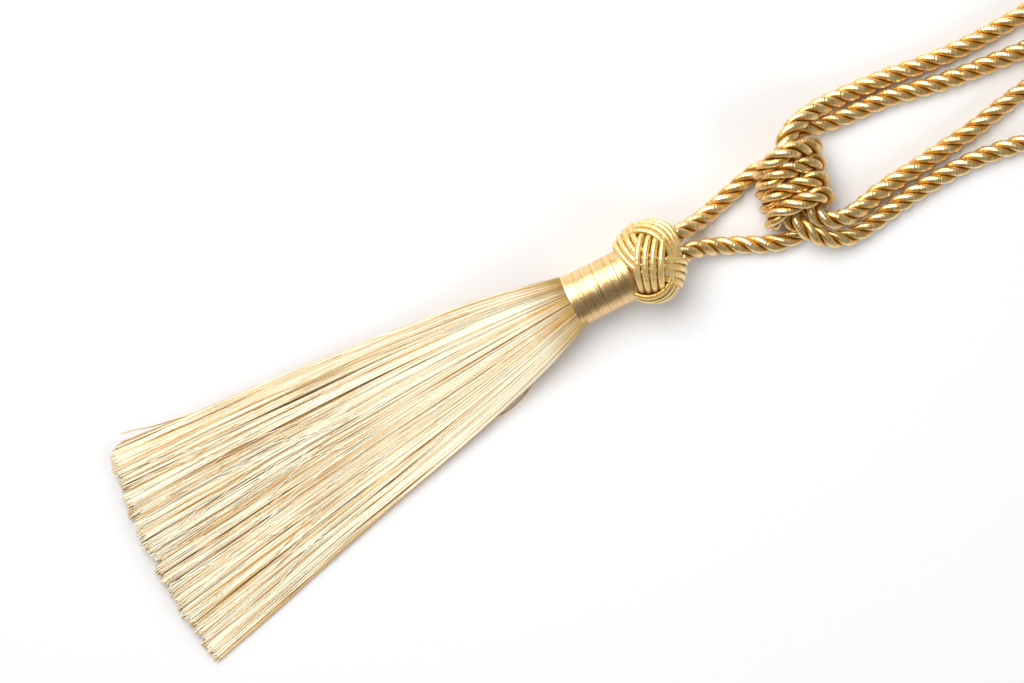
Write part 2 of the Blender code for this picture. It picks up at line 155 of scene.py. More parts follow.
# Ball knot
BALL_CENTRE = Vector((0.0, 0.0, 20.0))
BALL_CORE = 16.6
BALL_OUTER = 21.5
BALL_PRESS = 4.0
BALL_PRESS_FROM = 5.0
GIMPS_IN_BAND = 4
BAND_OVER = 19.75
BAND_UNDER = 16.25
BAND_CURVE = 0.9
BAND_STEPS = 132
GIMP_SIDES = 14
GIMP_FILL = 0.485
CORE_ROWS = 20
CORE_SIDES = 40
CORE_ROUGHNESS = 0.6
KNOT_TURN = math.radians(60)
KNOT_AWAY = Vector((math.sin(KNOT_TURN), -math.cos(KNOT_TURN), 0.0))
KNOT_ALONG = Vector((math.cos(KNOT_TURN), math.sin(KNOT_TURN), 0.0))
BANDS = (
    # name, ways to where it passes over and under, way it shifts,
    # shift, tilt, bow, curl, lean, skew
    ("front", UP, KNOT_ALONG, KNOT_AWAY, 0.06, 0.0, -0.2, 0.0, 0.05, 0.0),
    ("side", KNOT_AWAY, UP, KNOT_ALONG, -0.25, -0.24, 0.51, -0.38, 0.0, 0.0),
    ("top", KNOT_ALONG, KNOT_AWAY, UP, 0.4, 0.24, 0.0, 0.0, 0.54, 0.16),
)
BAND_NARROW = 0.86
BAND_WIDE = 1.1

# Neck: a tube with a waist, a lip at the skirt's end and a hem turned in at its mouth
NECK_START = Vector((-12.1, 0.4, 19.2))
NECK_END = Vector((-44.2, 2.3, 16.2))
NECK_RADIUS = 13.3
NECK_LIP = 13.9
NECK_SIDES = 112
NECK_MOUTH = 12.6
NECK_HEM = 4.0
NECK_EDGE = 0.5
NECK_TUCK = 2.0
NECK_WAIST = 0.2
NECK_UNEVEN = 0.03
NECK_CREASE = math.radians(40)
NECK_SEED = 11
LIP_FROM = 2.2
LIP_RISE = 0.9
LIP_SHARE = 0.6
# Half of a wound thread's foot and of its flat crown, in shares of its pitch, and its height
WOUND_FOOT = 0.48
WOUND_CROWN = 0.2
WOUND_HEIGHT = 0.06

# Skirt
SKIRT_SEED = 5
SKIRT_POINTS = 18
SKIRT_LAST_STEP = 0.0012
SKIRT_ROOT = 12.4
SKIRT_ROOT_PLACES = 401
SKIRT_INSIDE = (5.0, 1.0)
SKIRT_SIDE_THICK = 0.35
SKIRT_SIDE_REACH = 0.995
SKIRT_SWAY = (0.1, 0.6)
# Lower layers get only deep tones: painted shade in the gaps under the top threads
SKIRT_LAYERS = (
    # name, lowest and highest place in the skirt, share of the threads, lowest and highest tone
    ("low", 0.0, 0.4, 0.33, 0.0, 0.15),
    ("middle", 0.4, 0.75, 0.33, 0.0, 0.15),
    ("upper", 0.75, 0.95, 0.25, 0.0, 1.0),
    ("top", 0.95, 1.0, 0.09, 0.2, 1.2),
)
# How locks and threads stray from their places, with waves in turns along a thread
SKIRT_LOCKS = 46
LOCK_PULL = 22.0
LOCK_SWAY = 0.7
LOCK_WAVES = (0.4, 1.3)
LOCK_CUT = 0.9
THREAD_SWAY = 0.35
THREAD_SPLAY = 0.4
THREAD_WAVES = (0.6, 2.2)
THREAD_LIFT = 0.25
THREAD_LIFT_RATE = 1.3
THREAD_OFF_FLOOR = 0.02
THREAD_THICKNESS = (0.8, 1.15)
THREAD_CORNERS = (90, 210, 330)
# Threads of the top layer that cross others: where, in shares of the width and of the length
CROSSING = 70
CROSSING_WITHIN = 0.8
CROSSING_FROM = (0.5, 0.88)
CROSSING_OVER = 0.16
CROSSING_REACH = 9.0
CROSSING_LIFT = 0.6
# Runs of pale and of gold threads side by side, and what takes from the pale tone
PALE_RUN = (2, 7)
GOLD_RUN = (1, 4)
PALE_TONE = 0.85
TONE_SPREAD = 0.25
DEPTH_SHADE = 0.15
EDGE_SHADE = 0.2
EDGE_REACH = 1.2
# The cut end: how far threads are cut short, less at the middle and more under the top ones
TIP_SHORT = 3.5
TIP_BOW = 6.0
TIP_SLANT = 3.0
TIP_RAGGED = 1.9
TIP_UNDER = 1.6
TIP_NOTCH = 5.5
TIP_NOTCH_PLACE = -0.03
TIP_NOTCH_WIDTH = 0.022
SKIRT_SECTIONS = (
    # x, y of the lower edge, y of the upper edge, z of the underside, height, flatness
    (-45.4, -10.6, 15.2, 3.6, 25.4, 0.0),
    (-52.0, -14.2, 18.2, 2.2, 26.6, 0.1),
    (-78.0, -22.4, 25.6, 0.6, 21.6, 0.5),
    (-122.0, -32.0, 33.3, 0.3, 14.2, 0.9),
    (-196.0, -45.4, 43.2, 0.3, 9.6, 1.0),
    (-284.0, -64.0, 54.0, 0.3, 7.0, 1.0),
)
LOOSE_THREADS = (
    # x, y, z of the threads that stand out from the skirt
    ((-72.0, -19.4, 3.0), (-80.0, -22.9, 1.5), (-86.0, -26.0, 0.4), (-93.0, -28.3, 0.35),
     (-100.0, -29.2, 0.35), (-106.0, -28.6, 1.2), (-112.0, -27.4, 3.0)),
    ((-205.0, 42.4, 3.6), (-225.0, 46.6, 2.2), (-246.0, 51.0, 0.8), (-258.0, 54.0, 0.35),
     (-266.0, 56.6, 0.35), (-272.0, 58.0, 0.35)),
)
# Loose threads have the finish of a skirt's thread from this far along it, in metres
LOOSE_ALONG = 0.1
LOOSE_TONE = 0.45
LOOSE_STEPS = 8
LOOSE_SIDES = 5

# Routes of the ropes
UPPER_LEG = (
    # x, y, z of the upper leg, from the ball to the first turn
    (12.4, 5.5, 19.1),
    (16.8, 5.3, 16.8),
    (22.0, 5.1, 14.0),
    (29.0, 5.4, 9.6),
    (37.0, 6.6, 6.0),
    (45.0, 8.2, 4.8),
    (53.0, 10.0, 4.8),
    (62.0, 12.0, 4.7),
    (70.6, 12.8, 4.5),
    (78.8, 10.8, 4.4),
)
LOWER_LEG = (
    # x, y, z of the lower leg, from the ball to its end under the turns
    (12.2, -4.6, 18.3),
    (16.4, -5.0, 16.0),
    (21.5, -5.6, 13.2),
    (29.0, -8.4, 8.8),
    (36.5, -12.0, 5.6),
    (44.0, -15.6, 4.8),
    (52.0, -20.0, 4.8),
    (60.0, -23.4, 4.8),
    (68.0, -24.8, 4.6),
    (76.0, -24.9, 4.4),
    (81.0, -25.6, 4.4),
)
# Places along the turns of the pair of ropes: out to the upper loop, through, and back
PAIR_OUT = (7.8, 4.0, 0.0, -5.0, -10.0, -15.0, -18.0)
PAIR_THROUGH = (-15.0, -10.0, -5.0, 0.0, 4.0, 8.0, 13.0)
PAIR_BACK = (17.0, 12.5, 8.2)
UPPER_LOOP = (
    # x, y, z of the rope round the upper loop, from the turns and back to them
    (87.6, 19.6, 20.8),
    (94.4, 22.8, 18.8),
    (102.4, 24.2, 15.6),
    (112.0, 24.4, 10.8),
    (123.0, 23.8, 6.8),
    (135.0, 22.4, 5.0),
    (149.0, 20.6, 4.8),
    (166.0, 17.4, 4.8),
    (186.0, 15.0, 4.8),
    (206.0, 14.2, 4.8),
    (226.0, 14.4, 4.8),
    (256.0, 18.0, 4.8),
    (290.0, 23.0, 4.8),
    (324.0, 26.4, 4.8),
    (356.0, 27.6, 4.8),
    (380.0, 25.4, 4.8),
    (394.0, 17.6, 4.8),
    (397.0, 8.0, 4.8),
    (389.0, -2.4, 4.8),
    (370.0, -7.4, 4.8),
    (340.0, -8.0, 4.8),
    (306.0, -7.0, 4.8),
    (270.0, -5.4, 4.8),
    (240.0, -3.6, 4.8),
    (215.0, -1.6, 4.8),
    (197.0, 0.8, 4.8),
    (178.0, 3.6, 4.8),
    (160.0, 7.4, 4.8),
    (146.0, 11.0, 4.8),
    (132.0, 13.0, 4.8),
    (119.0, 14.4, 5.2),
    (107.2, 16.6, 7.2),
    (99.0, 18.2, 9.8),
    (92.4, 16.6, 12.6),
)
LOWER_LOOP = (
    # x, y, z of the rope round the lower loop, from the turns and back to them
    (82.4, -22.6, 17.4),
    (87.0, -27.0, 17.0),
    (94.0, -29.2, 14.6),
    (103.4, -28.8, 10.6),
    (114.0, -27.0, 7.0),
    (126.0, -26.0, 5.2),
    (141.0, -25.4, 4.8),
    (156.0, -24.4, 4.8),
    (172.0, -23.2, 4.8),
    (190.0, -20.6, 4.8),
    (210.0, -18.6, 4.8),
    (240.0, -18.8, 4.8),
    (272.0, -20.8, 4.8),
    (306.0, -22.8, 4.8),
    (336.0, -23.6, 4.8),
    (360.0, -25.0, 4.8),
    (376.0, -31.6, 4.8),
    (381.0, -42.0, 4.8),
    (375.0, -52.6, 4.8),
    (358.0, -59.6, 4.8),
    (334.0, -61.6, 4.8),
    (304.0, -60.4, 4.8),
    (274.0, -57.2, 4.8),
    (244.0, -52.6, 4.8),
    (216.0, -47.4, 4.8),
    (194.0, -42.6, 4.8),
    (178.0, -38.8, 4.8),
    (164.0, -36.6, 4.8),
    (148.0, -35.8, 4.8),
    (131.0, -36.2, 4.8),
    (116.0, -37.4, 4.8),
    (103.0, -38.8, 5.2),
    (92.0, -38.6, 6.8),
    (83.0, -35.0, 9.6),
    (76.4, -28.6, 12.8),
    (72.9, -22.4, 14.0),
)


# ---- small sums ----


def mix(a, b, share):
    return a + (b - a) * share


def smooth(share):
    share = np.clip(share, 0.0, 1.0)
    return share * share * (3 - 2 * share)


def unit(vectors):
    return vectors / np.linalg.norm(vectors, axis=-1, keepdims=True)


def around(sides):
    """Angles of a ring's corners."""
    return np.linspace(0, 2 * math.pi, sides, endpoint=False)


# ---- materials ----


class Value:
    """An output of a finish's nodes, for sums in Python."""

    def __init__(self, finish, socket):
        self.finish = finish
        self.socket = socket

    def worked(self, operation, *values):
        return self.finish.node("ShaderNodeMath", {"operation": operation}, dict(enumerate(values)))

    def __add__(self, other):
        return self.worked("ADD", self, other)

    def __radd__(self, other):
        return self.worked("ADD", other, self)

    def __sub__(self, other):
        return self.worked("SUBTRACT", self, other)

    def __rsub__(self, other):
        return self.worked("SUBTRACT", other, self)

    def __mul__(self, other):
        return self.worked("MULTIPLY", self, other)

    def __rmul__(self, other):
        return self.worked("MULTIPLY", other, self)

    def between(self, low, high):
        """0 up to low, 1 from high on, and a straight rise from one to the other."""
        values = {"Value": self, "From Min": low, "From Max": high}
        return self.finish.node("ShaderNodeMapRange", None, values)


class Finish:
    """A Principled material whose nodes are written as sums."""

    def __init__(self, name):
        self.material = bpy.data.materials.new(name)
        self.material.use_nodes = True
        self.tree = self.material.node_tree
        self.shader = self.tree.nodes["Principled BSDF"]

    def node(self, kind, settings=None, values=None, output=0):
        made = self.tree.nodes.new(kind)
        for name, setting in (settings or {}).items():
            setattr(made, name, setting)
        for socket, value in (values or {}).items():
            self.feed(made.inputs[socket], value)
        return Value(self, made.outputs[output])

    def feed(self, socket, value):
        if isinstance(value, Value):
            self.tree.links.new(value.socket, socket)
        else:
            socket.default_value = value

    def set(self, **values):
        for name, value in values.items():
            self.feed(self.shader.inputs[name.replace("_", " ").title()], value)

    def attribute(self, name):
        return self.node("ShaderNodeAttribute", {"attribute_name": name}, output="Fac")

    def place(self):
        return self.node("ShaderNodeTexCoord", output="Object")

    def patches(self, scale):
        """Soft patches all over the object."""
        values = {"Vector": self.place(), "Scale": scale, "Detail": 2.0}
        return self.node("ShaderNodeTexNoise", None, values)

    def stripes(self, along, width):
        """Uneven stripes across a way, each about as wide as the width."""
        values = {"W": along * (1 / width), "Scale": 1.0, "Detail": 1.0}
        return self.node("ShaderNodeTexNoise", {"noise_dimensions": "1D"}, values)

    def between(self, share, a, b):
        """The colour between a and b. A Mix node's colour sockets go by number, as names repeat."""
        settings = {"data_type": "RGBA"}
        return self.node("ShaderNodeMix", settings, {0: share, 6: a, 7: b}, output=2)

    def bump(self, height, strength, distance):
        values = {"Height": height, "Strength": strength, "Distance": distance}
        self.feed(self.shader.inputs["Normal"], self.node("ShaderNodeBump", None, values))


def wound_finish(name, light, deep, groove_shade, pitch, bundle, relief, roughness, metallic, coat):
    """Satin thread wound round a core: fine threads across it, in uneven bundles."""
    finish = Finish(name)
    along = finish.attribute("along") + finish.attribute("tone") * STRAND_SHIFT
    threads = finish.stripes(along, pitch)
    bundles = finish.stripes(along + BUNDLE_SHIFT, bundle)
    tone = finish.patches(WOUND_PATCHES)
    # Weights of patterns that lie about 0.5, so that the satin is a little over half light.
    share = tone * 0.8 + bundles * 0.6 + threads * 1.8 - 1.05
    satin = finish.between(share, deep, light)
    # Painted shade and painted highlight: groove_shade darkens the side of a strand or gimp away
    # from its crest, the deep tone its flanks, and only the crown keeps the lit satin
    if groove_shade:
        crest = finish.attribute("crest")
        flank_shade = finish.between(crest.between(*GROOVE_SHADE_EDGE), groove_shade, deep)
        satin = finish.between(crest.between(*LIT_CREST_EDGE), flank_shade, satin)
    finish.set(
        base_color=satin,
        roughness=roughness + tone * 0.1,
        metallic=metallic,
        coat_weight=coat,
        coat_roughness=COAT_ROUGHNESS,
    )
    finish.bump(threads * 0.6 + bundles * 0.4, 1.0, relief)
    return finish.material


def rope_finish(name, colours):
    shades = (colours.rope_light, colours.rope_deep, colours.groove_shade)
    return wound_finish(name, *shades, **ROPE_WINDING)


def thread_finish(name, light, deep, rim_shade):
    """Cut threads, each with a tone of its own, with painted shade on their flanks and below the
    neck, and lighter towards the tip.
    """
    finish = Finish(name)
    tone = finish.attribute("tone")
    along = finish.attribute("along")
    streak = finish.patches(THREAD_PATCHES)
    twist = finish.stripes(along + tone * THREAD_SHIFT, THREAD_TWIST)
    # Painted shade below the neck: threads darken towards their root and take the rim_shade colour
    # there
    root = 1 - along.between(*ROOT_END)
    tip = along.between(*TIP_START)
    share = tone * 0.95 + streak * 0.2 + twist * 0.3 - root * 0.6 + tip * 0.2 - 0.1
    # Painted shade: the lower corners of every thread take the deep tone
    flank_shade = finish.attribute("crest").between(*THREAD_FLANK_SHADE)
    satin = finish.between(flank_shade, deep, finish.between(share, deep, light))
    colour = finish.between(root * 0.7, satin, rim_shade)
    finish.set(base_color=colour, roughness=THREAD_ROUGHNESS)
    finish.bump(twist, THREAD_BUMP, THREAD_RELIEF)
    return finish.material


def plain_finish(name, colour, roughness):
    finish = Finish(name)
    finish.set(base_color=colour, roughness=roughness)
    return finish.material


# ---- meshes ----


def tubes_mesh(name, tubes, material, closed=False):
    """One mesh of tubes. Each tube is (rings by sides by 3 points in millimetres, along, tone).

    Its crest is 1 along the first corner of every ring, and 0 on the far side of it.
    """
    points = []
    faces = []
    alongs = []
    tones = []
    crests = []
    for rings, along, tone in tubes:
        count, sides, _ = rings.shape
        first = len(points)
        rings[:, :, 2] = np.maximum(rings[:, :, 2], 0.0)
        points.extend(map(tuple, rings.reshape(-1, 3) * MM))
        alongs.extend(np.repeat(along, sides))
        tones.extend([tone] * (count * sides))
        crest = 0.5 + 0.5 * np.cos(around(sides))
        crests.extend(np.tile(crest, count))
        last = count if closed else count - 1
        for i in range(last):
            here = first + i * sides
            there = first + (i + 1) % count * sides
            for j in range(sides):
                k = (j + 1) % sides
                faces.append((here + j, here + k, there + k, there + j))
        if not closed:
            faces.append(tuple(first + j for j in reversed(range(sides))))
            faces.append(tuple(first + (count - 1) * sides + j for j in range(sides)))
    mesh = bpy.data.meshes.new(name)
    mesh.from_pydata(points, [], faces)
    for label, values in (("along", alongs), ("tone", tones), ("crest", crests)):
        layer = mesh.attributes.new(label, "FLOAT", "POINT")
        layer.data.foreach_set("value", np.array(values, np.float32))
    mesh.shade_smooth()
    mesh.materials.append(material)
    piece = bpy.data.objects.new(name, mesh)
    bpy.context.scene.collection.objects.link(piece)
    return piece


def finish_piece(piece, slot, *nodes):
    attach(piece, "root")
    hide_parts(*nodes)


def round_tube(centres, radius, sides, outward, closed=False):
    """Rings square to a line of points, with the first corner towards outward."""
    if closed:
        onward = unit(np.roll(centres, -1, axis=0) - np.roll(centres, 1, axis=0))
    else:
        onward = unit(np.gradient(centres, axis=0))
    outward = unit(outward - onward * np.sum(outward * onward, axis=1, keepdims=True))
    across = np.cross(onward, outward)
    turns = around(sides)
    offsets = outward[:, None] * np.cos(turns)[:, None] + across[:, None] * np.sin(turns)[:, None]
    return centres[:, None] + offsets * radius


def distance_along(points):
    steps = np.linalg.norm(np.diff(points, axis=0), axis=1)
    return np.concatenate([[0.0], np.cumsum(steps)])


# ---- routes and ropes ----


def curve_through(route, steps=14):
    """Close-set points on a smooth curve through a route's points (centripetal Catmull-Rom)."""
    knots = [Vector(p) for p in route]
    knots = [knots[0] * 2 - knots[1]] + knots + [knots[-1] * 2 - knots[-2]]
    line = []
    for a, b, c, d in zip(knots, knots[1:], knots[2:], knots[3:]):
        ta = 0.0
        tb = ta + math.sqrt((b - a).length)
        tc = tb + math.sqrt((c - b).length)
        td = tc + math.sqrt((d - c).length)
        for i in range(steps):
            t = mix(tb, tc, i / steps)
            ab = a * ((tb - t) / (tb - ta)) + b * ((t - ta) / (tb - ta))
            bc = b * ((tc - t) / (tc - tb)) + c * ((t - tb) / (tc - tb))
            cd = c * ((td - t) / (td - tc)) + d * ((t - tc) / (td - tc))
            abc = ab * ((tc - t) / (tc - ta)) + bc * ((t - ta) / (tc - ta))
            bcd = bc * ((td - t) / (td - tb)) + cd * ((t - tb) / (td - tb))
            line.append(abc * ((tc - t) / (tc - tb)) + bcd * ((t - tb) / (tc - tb)))
    line.append(knots[-2].copy())
    return line


def in_coil(point):
    """1 where a cord is part of the turns, 0 where it lies free."""
    near, far = COIL_REACH
    distance = (Vector((point.x, point.y, 0.0)) - COIL_CENTRE).length
    return smooth((far - distance) / (far - near))


def walk(line, step_at):
    """Points along a line, each a step from the last; step_at gives the step at a point."""
    marks = [0.0]
    for a, b in zip(line, line[1:]):
        marks.append(marks[-1] + (b - a).length)
    place = 0
    found = [line[0]]
    stops = [0.0]
    while True:
        target = stops[-1] + step_at(found[-1])
        if target > marks[-1] - 0.5 * step_at(found[-1]):
            break
        while marks[place + 1] < target:
            place += 1
        share = (target - marks[place]) / (marks[place + 1] - marks[place])
        found.append(line[place].lerp(line[place + 1], share))
        stops.append(target)
    found.append(line[-1])
    stops.append(marks[-1])
    return found, stops


def laid_rope(line, lay, strand, squeezed):
    """The rope's centres and its strands' tubes along a line.

    A squeezed rope is narrower along the coil where it is part of the turns, and ends rounded.
    """

    def share_at(point):
        return in_coil(point) if squeezed else 0.0

    centres, stops = walk(line, lambda point: mix(ROPE_STEP, COIL_STEP, share_at(point)))
    turn = 0.0
    side = None
    frames = []
    for i, centre in enumerate(centres):
        ahead = centres[min(i + 1, len(centres) - 1)]
        forward = (ahead - centres[max(i - 1, 0)]).normalized()
        side = UP.cross(forward) if side is None else side
        side = (side - forward * side.dot(forward)).normalized()
        share = share_at(centre)
        if i:
            turn += 2 * math.pi * (stops[i] - stops[i - 1]) / mix(lay, COIL_LAY, share)
        frames.append((side, forward.cross(side), turn, share))
    middle = np.array(centres)
    sides = np.array([f[0] for f in frames])
    overs = np.array([f[1] for f in frames])
    turns = np.array([f[2] for f in frames])
    shares = np.array([f[3] for f in frames])[:, None]
    crown = mix(ROPE_RADIUS, COIL_FULL, shares)
    if squeezed:
        tail = np.clip(1 - (stops[-1] - np.array(stops)) / ROPE_TAIL, 0.0, ROPE_TAIL_ROUND)
        crown = crown * np.sqrt(1 - tail**2)[:, None]
    axis = np.array(COIL_NORMAL)
    tubes = []
    for number in range(STRANDS):
        angle = (turns + 2 * math.pi * number / STRANDS)[:, None]
        outward = sides * np.cos(angle) + overs * np.sin(angle)
        thick = strand * crown / ROPE_RADIUS
        lines = middle + outward * (crown - thick)
        rings = round_tube(lines, thick[:, None], STRAND_SIDES, outward)
        offsets = rings - middle[:, None]
        along_coil = np.sum(offsets * axis, axis=2, keepdims=True) * axis
        rings = rings - along_coil * (1 - mix(1.0, COIL_SQUEEZE, shares))[:, None]
        tubes.append((rings, distance_along(lines) * MM, number / STRANDS))
    return middle, tubes


def pair_across(along):
    """The unit vector from the left rope of the pair to the right one: across the coil, and up."""
    turn = along * (PAIR_TWIST_BEFORE if along < 0 else PAIR_TWIST_AFTER)
    return Vector((math.cos(turn), math.sin(turn)))


def coil_place(along, across, height):
    """A point given along the coil, across it from the pair's middle, and above the pair's foot."""
    across += PAIR_SHIFT * min(along, 0.0) ** 2
    return COIL_CENTRE + COIL_AXIS * along + COIL_ACROSS * across + UP * (PAIR_LOW + height)


def pair_point(along, side):
    """A point of one rope of the pair; side is -1 for the left one and 1 for the right one."""
    pair = pair_across(along) * PAIR_OFFSET
    return coil_place(along, side * pair.x, abs(pair.y) + side * pair.y)


def coil_point(turns):
    """A point of the winding: under the pair, up on its right, over it and down on its left."""
    angle = 2 * math.pi * turns
    out = Vector((math.sin(angle), -math.cos(angle))) * TURN_RADIUS
    along = COIL_FIRST + COIL_PITCH * turns - COIL_LEAN * out.y - COIL_SHEAR * out.x
    pair = pair_across(along) * PAIR_OFFSET
    side = max(-1.0, min(1.0, PAIR_WRAP * out.dot(pair) / (TURN_RADIUS * PAIR_OFFSET)))
    return coil_place(along, side * pair.x + out.x, abs(pair.y) + side * pair.y + out.y)


def embrace_route():
    """Out of the turns, round the upper loop, through the turns, round the lower one, and back."""
    out = [pair_point(along, -1) for along in PAIR_OUT]
    through = [pair_point(along, 1) for along in PAIR_THROUGH]
    back = [pair_point(along, -1) for along in PAIR_BACK]
    return out + list(UPPER_LOOP) + through + list(LOWER_LOOP) + back


def coil_route():
    steps = round(COIL_TURNS * COIL_STEPS)
    return [coil_point(COIL_TURNS * i / steps) for i in range(steps + 1)]


# ---- ball knot ----


def gimp_line(band, number, gimp):
    """The closed line of one gimp of a band, and the way out of the ball along it."""
    _, long_way, short_way, side_way, middle, tilt, bow, curl, lean, skew = band
    turns = around(BAND_STEPS)
    far = np.cos(turns)[:, None]
    near = np.sin(turns)[:, None]
    shift = middle + tilt * far + bow * far**2 + curl * far**3 + lean * near + skew * far * near
    way = np.array(long_way) * far + np.array(short_way) * near
    way = unit(way + np.array(side_way) * shift)
    onward = unit(np.roll(way, -1, axis=0) - np.roll(way, 1, axis=0))
    across = unit(np.cross(way, onward))
    place = ((number + 0.5) * gimp - GIMPS_IN_BAND * gimp / 2) * mix(BAND_NARROW, BAND_WIDE, far**2)
    radius = mix(BAND_UNDER, BAND_OVER, far**2)
    drop = radius - np.sqrt(radius**2 - place**2)
    line = np.array(BALL_CENTRE) + way * (radius - drop * BAND_CURVE) + across * place
    return line, way


def pressed(points):
    """Points of the ball, pressed in where the ball is flatter, beside the lower cord."""
    away = np.array(KNOT_AWAY)
    reach = (points - np.array(BALL_CENTRE)) @ away
    share = np.maximum(0.0, reach - BALL_PRESS_FROM) / (BALL_OUTER - BALL_PRESS_FROM)
    return points - away * (BALL_PRESS * share**2)[..., None]


def core_rings():
    """Rings of the ball that fills the inside of the knot."""
    turns = around(CORE_SIDES)
    rings = []
    for i in range(1, CORE_ROWS):
        angle = math.pi * i / CORE_ROWS
        radius = BALL_CORE * math.sin(angle)
        height = np.full(CORE_SIDES, -BALL_CORE * math.cos(angle))
        ring = [np.cos(turns) * radius, np.sin(turns) * radius, height]
        rings.append(np.array(BALL_CENTRE) + np.stack(ring, axis=1))
    return pressed(np.array(rings))


# ---- neck and skirt ----


def neck_frame():
    forward = (NECK_END - NECK_START).normalized()
    side = UP.cross(forward).normalized()
    return forward, side, forward.cross(side)


def turned_rings(profile, sides):
    """Rings about the neck's axis of a profile of places along it and radii."""
    forward, side, over = neck_frame()
    turns = around(sides)[:, None]
    spokes = np.array(side) * np.cos(turns) + np.array(over) * np.sin(turns)
    rings = [np.array(NECK_START + forward * along) + spokes * radius for along, radius in profile]
    return np.array(rings)


def neck_profile(pitch, chance):
    """Places along the neck and radii, over every wound thread, then in at the skirt's end."""
    length = (NECK_END - NECK_START).length
    count = int(length / pitch)
    profile = [(0.0, NECK_MOUTH - NECK_TUCK)]
    for i in range(count):
        along = length * (i + 0.5) / count
        body = NECK_RADIUS - NECK_WAIST * math.sin(math.pi * along / length)
        rise = smooth((along - length + LIP_FROM) / LIP_RISE)
        lip = rise * (NECK_LIP - NECK_RADIUS) * LIP_SHARE
        crown = body + lip + chance.uniform(-NECK_UNEVEN, NECK_UNEVEN)
        profile.append((along - pitch * WOUND_FOOT, crown - WOUND_HEIGHT))
        profile.append((along - pitch * WOUND_CROWN, crown))
        profile.append((along + pitch * WOUND_CROWN, crown))
    profile.append((length, NECK_LIP - NECK_EDGE))
    profile.append((length, NECK_MOUTH))
    profile.append((length - NECK_HEM, NECK_MOUTH))
    return profile


def skirt_stops():
    """Shares of a thread's length where its points are, the last two close together."""
    return np.append(np.linspace(0.0, 1.0 - SKIRT_LAST_STEP, SKIRT_POINTS - 1), 1.0)


def skirt_paths(across, height, drift, lift, cut):
    """Paths of threads, as an array of threads by points by 3.

    Across is -1 to 1 over the skirt's width and height is 0 to 1 through it.
    """
    count = len(across)
    # In the neck the threads fill a circle, so they stand closer together across its middle.
    reach = np.linspace(-1.0, 1.0, SKIRT_ROOT_PLACES)
    area = (np.arcsin(reach) + reach * np.sqrt(1 - reach**2)) / math.pi * 2
    in_round = np.interp(across, area, reach)
    knots = []
    forward, side, over = neck_frame()
    round_half = np.sqrt(np.clip(1 - in_round**2, 0.0, 1.0))
    for deep in SKIRT_INSIDE:
        middle = NECK_END - forward * deep
        place = np.array(middle)[None] - np.array(side)[None] * (in_round * SKIRT_ROOT)[:, None]
        place = place + np.array(over)[None] * ((2 * height - 1) * round_half * SKIRT_ROOT)[:, None]
        knots.append(place)
    for x, low, high, base, tall, flat in SKIRT_SECTIONS:
        spread = mix(in_round, across, flat)
        lens = np.sqrt(np.clip(1 - spread**2, 0.0, 1.0))
        thick = tall * mix(lens, mix(SKIRT_SIDE_THICK, 1.0, lens), flat)
        under = base + (tall - thick) / 2 * (1 - flat)
        end = x + (cut if x == SKIRT_SECTIONS[-1][0] else 0.0)
        y = (low + high) / 2 + spread * (high - low) / 2
        z = under + thick * height
        knots.append(np.stack([np.broadcast_to(end, count), y, z], axis=1))
    knots = np.array(knots)
    stops = distance_along(knots.mean(axis=1))
    stops /= stops[-1]
    at = skirt_stops()
    paths = np.empty((count, SKIRT_POINTS, 3))
    for axis in range(3):
        paths[:, :, axis] = hermite(stops, knots[:, :, axis], at)
    start, full = SKIRT_SWAY
    sway = smooth((at - start) / (full - start))
    paths[:, :, 1] += drift * sway
    paths[:, :, 2] += lift * sway
    return paths


def hermite(stops, values, at):
    """Smooth values at places between stops; values are stops by threads, and come out turned."""
    slopes = np.gradient(values, stops, axis=0)
    cell = np.clip(np.searchsorted(stops, at) - 1, 0, len(stops) - 2)
    width = (stops[cell + 1] - stops[cell])[:, None]
    t = (at[:, None] - stops[cell][:, None]) / width
    low = values[cell] * (1 + 2 * t) * (1 - t) ** 2 + slopes[cell] * width * t * (1 - t) ** 2
    high = values[cell + 1] * t**2 * (3 - 2 * t) + slopes[cell + 1] * width * t**2 * (t - 1)
    return (low + high).T


def threads_mesh(name, paths, radii, tones, material):
    """One mesh of three-sided threads."""
    onward = unit(np.gradient(paths, axis=1))
    side = unit(np.cross(np.array(UP), onward))
    over = np.cross(onward, side)
    turns = [math.radians(corner) for corner in THREAD_CORNERS]
    corners = [side * math.cos(t) + over * math.sin(t) for t in turns]
    rings = paths[:, :, None] + np.stack(corners, axis=2) * radii[:, None, None, None]
    tubes = []
    for ring, path, tone in zip(rings, paths, tones):
        tubes.append((ring, distance_along(path) * MM, tone))
    return tubes_mesh(name, tubes, material)


def streaks(count, chance):
    """Shares of the pale tone for threads side by side: runs of pale ones, gold ones between."""
    pale = chance.integers(*PALE_RUN, count)
    gold = chance.integers(*GOLD_RUN, count)
    lengths = np.stack([pale, gold], axis=1).ravel()
    run = np.repeat(np.tile([PALE_TONE, 0.0], count), lengths)[:count]
    return run + chance.uniform(0.0, TONE_SPREAD, count)


def tip_cut(across, chance):
    """How far each thread is cut short of, or past, the plain end of the skirt."""
    # Waves of unlike lengths, which don't repeat together across the skirt.
    clump = 1.1 * np.sin(across * 31.0 + 0.7) * np.sin(across * 13.0) + 0.8 * np.sin(across * 71.0)
    notch = TIP_NOTCH * np.exp(-(((across - TIP_NOTCH_PLACE) / TIP_NOTCH_WIDTH) ** 2))
    ragged = chance.uniform(-TIP_RAGGED, TIP_RAGGED, len(across))
    bow = TIP_SHORT - TIP_BOW * np.cos(math.pi / 2 * across)
    return TIP_SLANT * across + bow + clump + notch + ragged


